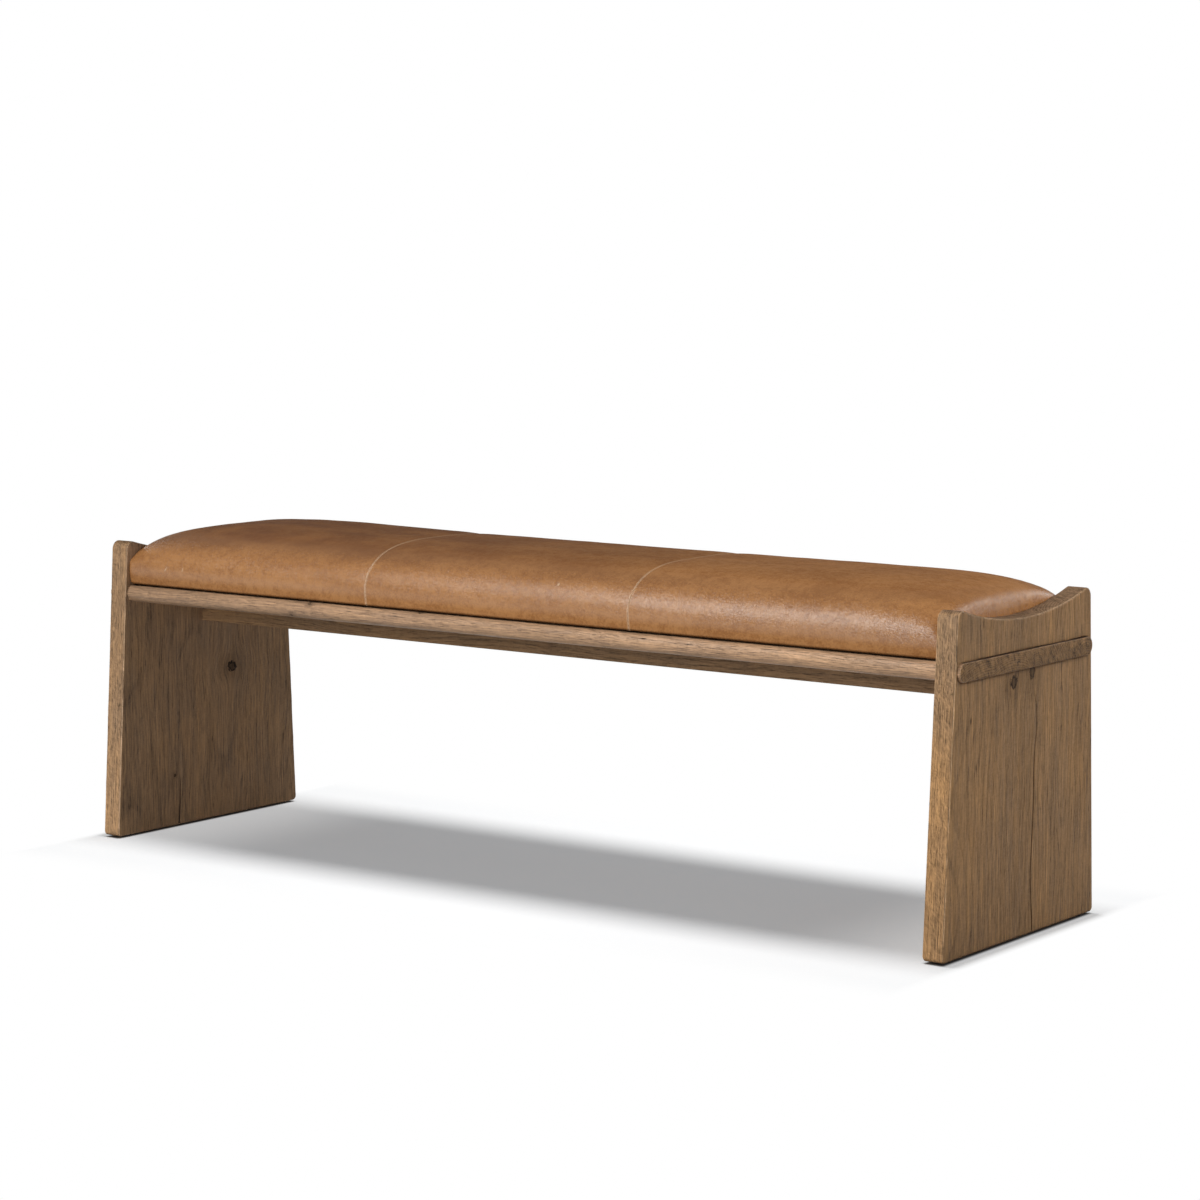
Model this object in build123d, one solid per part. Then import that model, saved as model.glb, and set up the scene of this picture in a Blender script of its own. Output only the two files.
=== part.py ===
from build123d import *
import math
import os

# Upholstered bench: two slab ends, a seat board that passes through them, a rail under
# the board, and a leather pad of three sewn panels that lies on the board.
# Millimetres. X runs along the bench, the front is towards -Y, Z is up.
# The origin is on the floor, under the middle of the bench.

# Driving sizes of the whole bench
overall_length = 1524.0
seat_board_top = 399.0
end_panel_thickness = 32.0
tenon_stand_out = 4.0

# End panels
panel_depth_at_floor = 427.0
panel_depth_at_horns = 374.5
horn_rise = 72.5  # from the seat board's top to where side and scoop would meet, unrounded
scoop_depth = 28.2
horn_rounding = 13.0
foot_rounding = 7.0
panel_edge_softening = 2.5

# Seat board and the slots that it passes through
board_thickness = 26.0
slot_wall = 4.5  # wood left beside the slot at its height
slot_end_gap = 0.3
tenon_edge_softening = 1.2

# Centre rail
rail_thickness = 30.0
rail_height = 45.5
rail_edge_softening = 1.5

# Dowels between the rail and the end panels
dowel_radius = 5.0
dowel_depth_each_side = 24.0
dowel_spacing = 22.0
dowel_count = 2
dowel_gap = 0.1

# Screws up through the rail into the seat board
rail_screw_count = 5
rail_screw_end_margin = 120.0
rail_screw_radius = 2.25
rail_screw_bite = 17.5  # into the seat board
rail_screw_head_radius = 4.5
rail_screw_head_height = 3.0
rail_screw_recess_gap = 1.5
rail_screw_recess_depth = 25.0

# Pad: outer face of the leather
pad_setback = 7.5  # from the board's nose to the pad's lower edge
pad_end_gap = 0.3
pad_height = 94.0
pad_belly = 5.0  # how far the side stands out past its lower edge
pad_lower_corner = 2.5
pad_wall_height = 8.6  # the part of the side that keeps its height towards the ends
pad_end_lip = 0.3
# The section's points, as shares of the half depth at the belly and of the height
belly_height_share = 0.287
shoulder_start_shares = (0.986, 0.415)
shoulder_middle_shares = (0.903, 0.676)
crown_start_shares = (0.73, 0.86)
# How round the ends are in side view and the corners in top view, from 0, square, to 1
end_roundness_share = 0.0752
corner_roundness_share = 0.0067
end_station_shares = (0.0, 0.002, 0.006, 0.013, 0.025, 0.045, 0.075, 0.12, 0.19, 0.3, 0.5)

# Seams across the pad
middle_panel_length = 476.0
seam_shift = -9.0  # the middle panel's middle, off the bench's middle
seam_sink = 1.2
seam_reach = 14.0
seam_station_shares = ((1.0, 0.0), (0.65, 0.1), (0.35, 0.35), (0.0, 1.0))  # place, sink
seam_thread_width = 1.0
seam_tape_width = 20.0
seam_tape_thickness = 0.5

# Layers of the pad
leather_thickness = 1.6
wadding_thickness = 6.0
pad_base_thickness = 12.0
pad_base_corner = 8.0
cover_turn_under = 35.0
dust_cover_thickness = 0.5

# Staples that hold the turned-under leather
staple_pitch = 70.0
staple_crown = 10.0
staple_wire = 0.7
staple_wire_width = 1.2
staple_leg = 9.0
staple_margin = 14.0  # from the edge of the plywood

# Bolts that hold the pad to the seat board
pad_bolt_columns = 3
pad_bolt_end_margin = 180.0
pad_bolt_row_offset = 110.0
pad_bolt_radius = 3.0
pad_bolt_head_radius = 5.5
pad_bolt_head_height = 3.6
pad_bolt_hole_gap = 0.5
pad_bolt_recess_depth = 8.0
washer_radius = 8.0
washer_thickness = 1.5
washer_recess_gap = 1.0
tee_nut_radius = 9.5
tee_nut_plate = 1.5
tee_nut_barrel_radius = 4.0
tee_nut_floor = 3.0  # plywood left under the barrel
thread_gap = 0.05

# Glides under the end panels
glide_radius = 11.0
glide_height = 3.0
glide_edge_softening = 0.8
glide_inset = 28.0  # from the panel's front or back edge at the floor
glide_recess_depth = 1.5
nail_radius = 1.2
nail_length = 15.0
nail_head_radius = 3.0
nail_head_height = 1.0
nail_head_gap = 0.1

overrun = 1.0

# Places worked out from the sizes above
half_length = overall_length / 2
panel_outer = half_length - tenon_stand_out
panel_inner = panel_outer - end_panel_thickness
panel_middle = (panel_outer + panel_inner) / 2
board_bottom = seat_board_top - board_thickness
board_middle = (seat_board_top + board_bottom) / 2
nose_radius = board_thickness / 2
horn_height = seat_board_top + horn_rise


def panel_half_depth(height):
    """Half of the end panel's depth at a height above the floor."""
    taper = (panel_depth_at_floor - panel_depth_at_horns) / horn_height
    return (panel_depth_at_floor - taper * height) / 2


board_half_width = panel_half_depth(board_middle) - slot_wall
rail_bottom = board_bottom - rail_height
rail_screw_seat = rail_bottom + rail_screw_recess_depth
rail_screw_tip = board_bottom + rail_screw_bite
pad_half_length = panel_inner - pad_end_gap
pad_foot_half_depth = board_half_width - pad_setback
pad_bottom = seat_board_top
left_seam_place = seam_shift - middle_panel_length / 2
right_seam_place = seam_shift + middle_panel_length / 2
base_bottom = pad_bottom + leather_thickness
base_top = base_bottom + pad_base_thickness
core_inset = leather_thickness + wadding_thickness
base_half_depth = pad_foot_half_depth - core_inset
base_half_length = pad_half_length - core_inset
flange_half_depth = pad_foot_half_depth - cover_turn_under
flange_half_length = pad_half_length - cover_turn_under
pad_bolt_hole_radius = pad_bolt_radius + pad_bolt_hole_gap
pad_bolt_seat = board_bottom + pad_bolt_recess_depth - washer_thickness
tee_nut_top = base_top + tee_nut_plate
tee_nut_low = base_bottom + tee_nut_floor
pad_reach = (pad_bottom - overrun, pad_bottom + pad_height + overrun)  # heights that clear the pad


def box_between(low, high):
    """A block from its lowest corner to its highest corner."""
    size = [b - a for a, b in zip(low, high)]
    centre = [(a + b) / 2 for a, b in zip(low, high)]
    return Pos(*centre) * Box(*size)


def rod_up(place, low, high, radius):
    """An upright cylinder at (x, y) between two heights."""
    x, y = place
    return Pos(x, y, (low + high) / 2) * Cylinder(radius, high - low)


def rod_along(low_x, high_x, y, z, radius):
    """A cylinder along X."""
    middle = (low_x + high_x) / 2
    return Pos(middle, y, z) * Rot(0, 90, 0) * Cylinder(radius, high_x - low_x)


def spread(count, reach):
    """Places from -reach to reach, evenly spaced."""
    if count == 1:
        return [0.0]
    return [reach * (2 * i / (count - 1) - 1) for i in range(count)]


def stadium_bar(low_x, high_x, half_width):
    """A bar along X with the seat board's height and full round long edges."""
    straight = half_width - nose_radius
    block = box_between((low_x, -straight, board_bottom), (high_x, straight, seat_board_top))
    front = rod_along(low_x, high_x, -straight, board_middle, nose_radius)
    back = rod_along(low_x, high_x, straight, board_middle, nose_radius)
    return block + front + back


rail_screw_places = [(x, 0.0) for x in spread(rail_screw_count, panel_inner - rail_screw_end_margin)]
pad_bolt_places = [
    (x, y)
    for x in spread(pad_bolt_columns, panel_inner - pad_bolt_end_margin)
    for y in (-pad_bolt_row_offset, pad_bolt_row_offset)
]
nail_tip = glide_recess_depth + nail_length
glide_offset = panel_half_depth(glide_height) - glide_inset
glide_places = {
    "front_left_glide": (-panel_middle, -glide_offset),
    "front_right_glide": (panel_middle, -glide_offset),
    "back_left_glide": (-panel_middle, glide_offset),
    "back_right_glide": (panel_middle, glide_offset),
}
dowel_heights = [rail_bottom + rail_height / 2 + z for z in spread(dowel_count, dowel_spacing / 2)]


def end_panel(side):
    """A tapered slab end with a scooped top; side is -1 for the left one and 1 for the right one."""
    foot = panel_half_depth(glide_height)
    horn = panel_half_depth(horn_height)
    low_x, high_x = sorted((side * panel_inner, side * panel_outer))
    front_foot, back_foot = (low_x, -foot, glide_height), (low_x, foot, glide_height)
    front_horn, back_horn = (low_x, -horn, horn_height), (low_x, horn, horn_height)
    outline = [
        Line(front_foot, back_foot),
        Line(back_foot, back_horn),
        ThreePointArc(back_horn, (low_x, 0, horn_height - scoop_depth), front_horn),
        Line(front_horn, front_foot),
    ]
    slab = extrude(make_face(outline), amount=high_x - low_x, dir=(1, 0, 0))
    corners = slab.edges().filter_by(Axis.X).sort_by(Axis.Z)
    slab = fillet(corners[:2], foot_rounding)
    corners = slab.edges().filter_by(Axis.X).sort_by(Axis.Z)
    slab = fillet(corners[-2:], horn_rounding)
    faces = slab.faces().filter_by(Axis.X)
    slab = fillet(faces.edges(), panel_edge_softening)
    slab -= stadium_bar(low_x - overrun, high_x + overrun, board_half_width + slot_end_gap)
    for z in dowel_heights:
        far = side * (panel_inner + dowel_depth_each_side)
        near = side * (panel_inner - overrun)
        slab -= rod_along(min(near, far), max(near, far), 0, z, dowel_radius + dowel_gap)
    for place in glide_places.values():
        if place[0] * side > 0:
            slab -= rod_up(place, glide_height - overrun, nail_tip, nail_radius + thread_gap)
    return slab


def seat_board():
    """The board under the pad, with eased ends and the holes for the screws and bolts."""
    board = stadium_bar(-half_length, half_length, board_half_width)
    ends = board.faces().filter_by(Axis.X)
    board = fillet(ends.edges(), tenon_edge_softening)
    for place in rail_screw_places:
        board -= rod_up(place, board_bottom - overrun, rail_screw_tip, rail_screw_radius + thread_gap)
    for place in pad_bolt_places:
        board -= rod_up(place, board_bottom - overrun, seat_board_top + overrun, pad_bolt_hole_radius)
        recess_top = board_bottom + pad_bolt_recess_depth
        board -= rod_up(place, board_bottom - overrun, recess_top, washer_radius + washer_recess_gap)
    return board


def centre_rail():
    """The beam under the seat board, between the end panels."""
    half = rail_thickness / 2
    rail = box_between((-panel_inner, -half, rail_bottom), (panel_inner, half, board_bottom))
    lower = rail.edges().filter_by(Axis.X).sort_by(Axis.Z)[:2]
    rail = fillet(lower, rail_edge_softening)
    recess_radius = rail_screw_head_radius + rail_screw_recess_gap
    for place in rail_screw_places:
        rail -= rod_up(place, rail_bottom - overrun, rail_screw_seat, recess_radius)
        rail -= rod_up(place, rail_bottom, board_bottom + overrun, rail_screw_radius + thread_gap)
    for side in (-1, 1):
        for z in dowel_heights:
            far = side * (panel_inner - dowel_depth_each_side)
            near = side * (panel_inner + overrun)
            rail -= rod_along(min(near, far), max(near, far), 0, z, dowel_radius + dowel_gap)
    return rail


def rail_dowels():
    """Wooden dowels, half in the rail and half in the panel."""
    low = panel_inner - dowel_depth_each_side
    high = panel_inner + dowel_depth_each_side
    dowels = []
    for z in dowel_heights:
        dowels.append(rod_along(-high, -low, 0, z, dowel_radius))
        dowels.append(rod_along(low, high, 0, z, dowel_radius))
    return Compound(dowels)


def headed_pin(place, seat, tip, head_radius, head_height, radius):
    """A pin whose head hangs below the height of its seat and whose shank goes up to its tip."""
    head = rod_up(place, seat - head_height, seat, head_radius)
    return head + rod_up(place, seat - head_height / 2, tip, radius)


def rail_screws():
    """Screws in recesses under the rail."""
    sizes = (rail_screw_head_radius, rail_screw_head_height, rail_screw_radius)
    return Compound(
        [headed_pin(place, rail_screw_seat, rail_screw_tip, *sizes) for place in rail_screw_places]
    )


def pad_bolts():
    """Bolts in recesses under the seat board, up into the tee nuts."""
    sizes = (pad_bolt_head_radius, pad_bolt_head_height, pad_bolt_radius)
    return Compound([headed_pin(place, pad_bolt_seat, tee_nut_top, *sizes) for place in pad_bolt_places])


def pad_bolt_washers():
    """A washer over each bolt's head."""
    washers = []
    for place in pad_bolt_places:
        disc = rod_up(place, pad_bolt_seat, pad_bolt_seat + washer_thickness, washer_radius)
        washers.append(disc - rod_up(place, board_bottom, seat_board_top, pad_bolt_radius + thread_gap))
    return Compound(washers)


def tee_nuts():
    """A plate on top of the plywood with a threaded barrel down into it."""
    nuts = []
    for place in pad_bolt_places:
        plate = rod_up(place, base_top, tee_nut_top, tee_nut_radius)
        nut = plate + rod_up(place, tee_nut_low, base_top, tee_nut_barrel_radius)
        nuts.append(nut - rod_up(place, base_bottom, tee_nut_top + overrun, pad_bolt_radius + thread_gap))
    return Compound(nuts)


def pad_section(x, inset, bottom, sink):
    """The pad's cross-section at x, drawn in by inset, flat below, as lines and arcs."""
    along = abs(x) / (pad_half_length + pad_end_lip - inset)
    height_share = (1 - along ** (1 / end_roundness_share)) ** (2 * end_roundness_share)
    depth_share = (1 - along ** (1 / corner_roundness_share)) ** corner_roundness_share
    draw = inset + sink
    foot = pad_foot_half_depth * depth_share - inset
    belly = (pad_foot_half_depth + pad_belly) * depth_share - draw

    def level(share):
        above_wall = share * (pad_height - draw) - pad_wall_height
        return pad_bottom + pad_wall_height + above_wall * height_share

    def point(shares):
        return (belly * shares[0], level(shares[1]))

    shoulder_start = point(shoulder_start_shares)
    crown_start = point(crown_start_shares)
    corner = pad_lower_corner - inset
    half = []
    side_start = (foot, bottom)
    if corner > 0:
        slant = corner * (1 - math.sqrt(0.5))
        side_start = (foot, bottom + corner)
        half.append(((foot - corner, bottom), (foot - slant, bottom + slant), side_start))
    half.append((side_start, (belly, level(belly_height_share)), shoulder_start))
    half.append((shoulder_start, point(shoulder_middle_shares), crown_start))

    def at(spot, side):
        return (x, side * spot[0], spot[1])

    edges = [ThreePointArc(*[at(p, 1) for p in arc]) for arc in half]
    edges.append(ThreePointArc(at(crown_start, 1), (x, 0, level(1)), at(crown_start, -1)))
    edges += [ThreePointArc(*[at(p, -1) for p in reversed(arc)]) for arc in reversed(half)]
    first = half[0][0]
    edges.append(Line(at(first, -1), at(first, 1)))
    return Face(Wire(edges))


def stations_to_seam(start, seam, shares):
    """Stations from a start to a seam: the shares of the way first, then the dip at the seam."""
    way = seam - start
    toward = math.copysign(1, way)
    stations = [(start + share * way, 0.0) for share in shares]
    stations += [
        (seam - toward * place_share * seam_reach, sink_share * seam_sink)
        for place_share, sink_share in seam_station_shares
    ]
    return stations


def pad_form(inset, bottom):
    """The whole pad drawn in by inset: three sewn lengths that dip where they meet."""
    end = pad_half_length - inset
    middle = (left_seam_place + right_seam_place) / 2
    to_left = stations_to_seam(middle, left_seam_place, ())
    to_right = stations_to_seam(middle, right_seam_place, ())
    lengths = [
        stations_to_seam(-end, left_seam_place, end_station_shares),
        to_left[::-1] + to_right,
        stations_to_seam(end, right_seam_place, end_station_shares)[::-1],
    ]
    solids = [
        loft([pad_section(x, inset, bottom, sink) for x, sink in stations], ruled=True)
        for stations in lengths
    ]
    return solids[0] + solids[1] + solids[2]


def foam_block():
    """The foam before the tee nuts press into it."""
    end = pad_half_length - core_inset
    half = [end * (share - 1) for share in end_station_shares]
    stations = half + [-x for x in reversed(half)]
    block = loft([pad_section(x, core_inset, base_bottom, 0.0) for x in stations], ruled=True)
    return block - slab_across(-pad_half_length, pad_half_length, base_bottom - overrun, base_top)


def slab_across(low_x, high_x, low_z, high_z):
    """A block wider than the pad, between two places along it and two heights."""
    reach = board_half_width + overrun
    return box_between((low_x, -reach, low_z), (high_x, reach, high_z))


def seam_slab(seam, width):
    """A slice across the pad at a seam."""
    return slab_across(seam - width / 2, seam + width / 2, *pad_reach)


def plywood():
    """The plywood board before its holes."""
    block = box_between(
        (-base_half_length, -base_half_depth, base_bottom), (base_half_length, base_half_depth, base_top)
    )
    return fillet(block.edges().filter_by(Axis.Z), pad_base_corner)


def pad_base():
    """The plywood with its holes for the bolts, tee nuts and staples."""
    base = plywood()
    for place in pad_bolt_places:
        base -= rod_up(place, base_bottom - overrun, base_top + overrun, pad_bolt_hole_radius)
        base -= rod_up(place, tee_nut_low, base_top + overrun, tee_nut_barrel_radius)
    return base - staples()


def staple_places():
    """The staples' places and turns, along all four edges of the plywood."""
    long_edge = base_half_depth - staple_margin
    short_edge = base_half_length - staple_margin
    along = int(2 * (short_edge - staple_pitch / 2) / staple_pitch) + 1
    across = int(2 * (long_edge - staple_pitch / 2) / staple_pitch) + 1
    places = []
    for side in (-1, 1):
        places += [(x, side * long_edge, 0) for x in spread(along, short_edge - staple_pitch / 2)]
        places += [(side * short_edge, y, 90) for y in spread(across, long_edge - staple_pitch / 2)]
    return places


def staple(x, y, turn):
    """A wire staple, its crown sunk flush into the leather."""
    half = staple_crown / 2
    width = staple_wire_width / 2
    crown = box_between((-half, -width, pad_bottom), (half, width, pad_bottom + staple_wire))
    low, high = pad_bottom, pad_bottom + staple_leg
    left = box_between((-half, -width, low), (-half + staple_wire, width, high))
    right = box_between((half - staple_wire, -width, low), (half, width, high))
    return Pos(x, y, 0) * Rot(0, 0, turn) * (crown + left + right)


def staples():
    """All the staples."""
    return Compound([staple(*place) for place in staple_places()])


def dust_cover():
    """Thin cloth under the plywood, inside the turned-under leather."""
    sheet = box_between(
        (-flange_half_length, -flange_half_depth, base_bottom - dust_cover_thickness),
        (flange_half_length, flange_half_depth, base_bottom),
    )
    for place in pad_bolt_places:
        sheet -= rod_up(place, pad_bottom, base_bottom + overrun, pad_bolt_hole_radius)
    return sheet


def glide(place):
    """A round glide with a recess for its nail's head."""
    disc = rod_up(place, 0, glide_height, glide_radius)
    disc = fillet(disc.faces().sort_by(Axis.Z)[0].edges(), glide_edge_softening)
    disc -= rod_up(place, -overrun, glide_recess_depth, nail_head_radius + nail_head_gap)
    return disc - rod_up(place, -overrun, glide_height + overrun, nail_radius + thread_gap)


def glide_nails():
    """A nail up through each glide."""
    sizes = (nail_head_radius, nail_head_height, nail_radius)
    return Compound(
        [headed_pin(place, glide_recess_depth, nail_tip, *sizes) for place in glide_places.values()]
    )


def cushion():
    """The soft layers of the pad, by name."""
    outside = pad_form(0.0, pad_bottom)
    under_leather = pad_form(leather_thickness, base_bottom)
    under_tape = pad_form(leather_thickness + seam_tape_thickness, base_bottom)
    opening = box_between(
        (-flange_half_length, -flange_half_depth, pad_bottom - overrun),
        (flange_half_length, flange_half_depth, base_bottom + overrun),
    )
    leather = outside - under_leather - opening - staples()
    left_low, left_high = (left_seam_place + side * seam_thread_width / 2 for side in (-1, 1))
    right_low, right_high = (right_seam_place + side * seam_thread_width / 2 for side in (-1, 1))
    seams = {"left_seam": left_seam_place, "right_seam": right_seam_place}
    layers = {
        "cover_left_panel": leather & slab_across(-panel_inner, left_low, *pad_reach),
        "cover_middle_panel": leather & slab_across(left_high, right_low, *pad_reach),
        "cover_right_panel": leather & slab_across(right_high, panel_inner, *pad_reach),
    }
    foam = foam_block()
    wadding = under_leather - foam - plywood()
    for name, place in seams.items():
        layers[name + "_thread"] = leather & seam_slab(place, seam_thread_width)
        tape = (under_leather - under_tape) & seam_slab(place, seam_tape_width)
        layers[name + "_tape"] = tape
        wadding -= tape
    for place in pad_bolt_places:
        foam -= rod_up(place, base_top - overrun, tee_nut_top, tee_nut_radius)
    layers["pad_foam"] = foam
    layers["pad_wadding"] = wadding
    return layers


def write(shape, name):
    """One STEP file for each piece."""
    export_step(shape, f"parts/{name}.step")


def main():
    os.makedirs("parts", exist_ok=True)
    write(end_panel(-1), "left_end_panel")
    write(end_panel(1), "right_end_panel")
    write(seat_board(), "seat_board")
    write(centre_rail(), "centre_rail")
    write(rail_dowels(), "rail_dowels")
    write(rail_screws(), "rail_screws")
    write(pad_bolts(), "pad_bolts")
    write(pad_bolt_washers(), "pad_bolt_washers")
    write(tee_nuts(), "pad_tee_nuts")
    write(pad_base(), "pad_base")
    write(staples(), "cover_staples")
    write(dust_cover(), "dust_cover")
    write(glide_nails(), "glide_nails")
    for name, place in glide_places.items():
        write(glide(place), name)
    for name, layer in cushion().items():
        write(layer, name)


main()
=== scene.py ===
import bmesh
import bpy
import math
import numpy as np
from mathutils import Matrix, Vector, noise


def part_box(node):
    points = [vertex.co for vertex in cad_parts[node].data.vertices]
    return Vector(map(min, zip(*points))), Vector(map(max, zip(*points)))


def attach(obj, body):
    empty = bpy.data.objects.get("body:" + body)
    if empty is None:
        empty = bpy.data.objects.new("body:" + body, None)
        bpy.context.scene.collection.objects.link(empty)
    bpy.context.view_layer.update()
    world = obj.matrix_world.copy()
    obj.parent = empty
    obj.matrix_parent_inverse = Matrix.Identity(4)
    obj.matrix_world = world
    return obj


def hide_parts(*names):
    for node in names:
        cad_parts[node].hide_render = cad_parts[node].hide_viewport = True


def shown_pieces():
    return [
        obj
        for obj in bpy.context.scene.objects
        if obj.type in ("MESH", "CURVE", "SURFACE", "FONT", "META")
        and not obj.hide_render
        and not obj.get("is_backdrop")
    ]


# An upholstered bench: weathered oak ends, board and rail, and a leather pad sewn from three
# panels. X runs along the bench, the front is towards -Y, Z is up. The objects are in metres;
# sizes in this file are in millimetres, apart from those of the camera and the lamps.

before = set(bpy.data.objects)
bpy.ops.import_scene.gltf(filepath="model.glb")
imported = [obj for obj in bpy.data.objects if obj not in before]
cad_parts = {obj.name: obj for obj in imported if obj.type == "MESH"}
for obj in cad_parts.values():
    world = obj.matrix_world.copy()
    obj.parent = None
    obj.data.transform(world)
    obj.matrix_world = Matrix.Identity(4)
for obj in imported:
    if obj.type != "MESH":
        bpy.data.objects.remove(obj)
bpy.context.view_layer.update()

MM = 0.001


def node_box(name):
    """Lowest and highest corner of a node as arrays, in millimetres."""
    low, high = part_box(name)
    return np.array(low) / MM, np.array(high) / MM


# Sizes read from the model's nodes
board_low, board_high = node_box("seat_board")
panel_low, panel_high = node_box("right_end_panel")
dust_low, dust_high = node_box("dust_cover")
ply_low, ply_high = node_box("pad_base")

PAD_BOTTOM = board_high[2]
PAD_HALF_LENGTH, PAD_BELLY_DEPTH, PAD_TOP = node_box("cover_right_panel")[1]
SIDES = ("left", "right")
SEAMS = [sum(corner[0] for corner in node_box(side + "_seam_thread")) / 2 for side in SIDES]


# Colours, as linear light

def from_srgb(red, green, blue):
    """A linear colour from display values of 0 to 255."""
    def one(value):
        share = value / 255
        return share / 12.92 if share <= 0.04045 else ((share + 0.055) / 1.055) ** 2.4
    return (one(red), one(green), one(blue), 1.0)


def shaded(colour, factor):
    return tuple(factor * part for part in colour[:3]) + (1.0,)


# Node building

def operator(kind, flipped=False):
    """A method that joins two values, or a value and a number, by a math node."""
    def method(self, other):
        return self.look.math(kind, *((other, self) if flipped else (self, other)))
    return method


class Value:
    """What a shader node gives out. Sums and products of values make math nodes."""

    def __init__(self, look, socket):
        self.look, self.socket = look, socket

    __add__, __radd__ = operator("ADD"), operator("ADD", True)
    __sub__, __rsub__ = operator("SUBTRACT"), operator("SUBTRACT", True)
    __mul__, __rmul__ = operator("MULTIPLY"), operator("MULTIPLY", True)
    __truediv__ = operator("DIVIDE")

    def __abs__(self):
        return self.look.math("ABSOLUTE", self)

    def scaled(self, factor, start):
        """start plus factor times the value."""
        return self.look.math("MULTIPLY_ADD", self, factor, start)

    def remap(self, low, high, to_low=0.0, to_high=1.0, kind="LINEAR"):
        return self.look.out("MapRange", 0, {"interpolation_type": kind},
                             (self, low, high, to_low, to_high))

    def ease(self, *limits):
        """remap with a soft start and end."""
        return self.remap(*limits, kind="SMOOTHSTEP")


def total(start, *parts):
    """start plus each part times its weight."""
    for part, weight in parts:
        start = part.scaled(weight, start)
    return start


def most(first, *others):
    """The largest of some values; those that are None are left out."""
    for other in others:
        if first is None:
            first = other
        elif other is not None:
            first = first.look.math("MAXIMUM", first, other)
    return first


class Look:
    """A material, or another shader tree, and short ways to add nodes to it."""

    def __init__(self, name, tree=None):
        if tree is None:
            self.material = bpy.data.materials.new(name)
            self.material.use_nodes = True
            tree = self.material.node_tree
        self.tree = tree
        tree.nodes.clear()

    def put(self, socket, value):
        """Joins a socket to a value, or sets its own number or colour."""
        if isinstance(value, Value):
            self.tree.links.new(value.socket, socket)
        else:
            socket.default_value = value

    def node(self, kind, settings=None, values=(), **inputs):
        """Adds a node with its settings, its first inputs in turn and its named inputs, whose
        names have underscores for spaces."""
        made = self.tree.nodes.new("ShaderNode" + kind)
        for key, value in (settings or {}).items():
            setattr(made, key, value)
        for socket, value in zip(made.inputs, values):
            self.put(socket, value)
        for key, value in inputs.items():
            self.put(made.inputs[key.replace("_", " ")], value)
        return made

    def out(self, kind, key, settings=None, values=(), **inputs):
        """Adds a node and gives one of its outputs."""
        return Value(self, self.node(kind, settings, values, **inputs).outputs[key])

    def split(self, kind, value):
        """All the parts of a vector (XYZ) or a colour (Color)."""
        made = self.node("Separate" + kind, values=(value,))
        return [Value(self, socket) for socket in made.outputs]

    def math(self, operation, *values, clamp=False):
        return self.out("Math", 0, {"operation": operation, "use_clamp": clamp}, values)

    def vector(self, *parts):
        return self.out("CombineXYZ", 0, values=parts)

    def noise(self, vector, size=1.0, detail=2.0, roughness=0.5, distortion=0.0):
        return self.out("TexNoise", "Fac", Vector=vector, Scale=1 / size, Detail=detail,
                        Roughness=roughness, Distortion=distortion)

    def cells(self, vector, size, feature="F1", randomness=1.0):
        """The distance from a cell's middle, or from its edge."""
        return self.out("TexVoronoi", "Distance", {"feature": feature}, Vector=vector,
                        Scale=1 / size, Randomness=randomness)

    def mix(self, share, first, second):
        """A colour between two others."""
        made = self.node("Mix", {"data_type": "RGBA", "clamp_factor": True})
        for place, value in ((0, share), (6, first), (7, second)):
            self.put(made.inputs[place], value)
        return Value(self, made.outputs[2])

    def mix_shaders(self, share, first, second):
        return self.out("MixShader", 0, values=(share, first, second))

    def point(self):
        """The point that is shaded, in millimetres."""
        values = (self.out("TexCoord", "Object"), (1 / MM, 1 / MM, 1 / MM))
        return self.out("VectorMath", 0, {"operation": "MULTIPLY"}, values)

    def places(self):
        """Its X, Y and Z."""
        return self.split("XYZ", self.point())

    def attribute(self, name):
        return self.out("Attribute", "Fac", {"attribute_name": name})

    def end(self, shader, kind="Material"):
        self.node("Output" + kind, Surface=shader)

    def surface(self, colour, rough, height, depth, strength=1.0, **others):
        """Ends the material in the principled shader, with bumps of this depth."""
        bumps = self.out("Bump", 0, Height=height, Distance=depth * MM, Strength=strength)
        self.end(self.out("BsdfPrincipled", 0, Base_Color=colour, Roughness=rough, Normal=bumps,
                          **others))
        return self.material


# Wood

WARM_OAK = from_srgb(166, 126, 82)
GREY_OAK = from_srgb(146, 118, 90)
PALE_OAK = from_srgb(171, 135, 101)
PINK_OAK = from_srgb(168, 136, 109)
RUBBED_OAK = from_srgb(178, 149, 119)
TOP_OAK = from_srgb(146, 114, 83)
SIDE_OAK = from_srgb(143, 114, 87)
MARK_AND_SHADE_BROWN = from_srgb(38, 27, 20)


def spot(across, along, centre, radii):
    """How far a point lies from a spot's middle, where 1 is its rim."""
    a = (across - centre[0]) / radii[0]
    b = (along - centre[1]) / radii[1]
    return a.look.math("SQRT", a * a + b * b)


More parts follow.
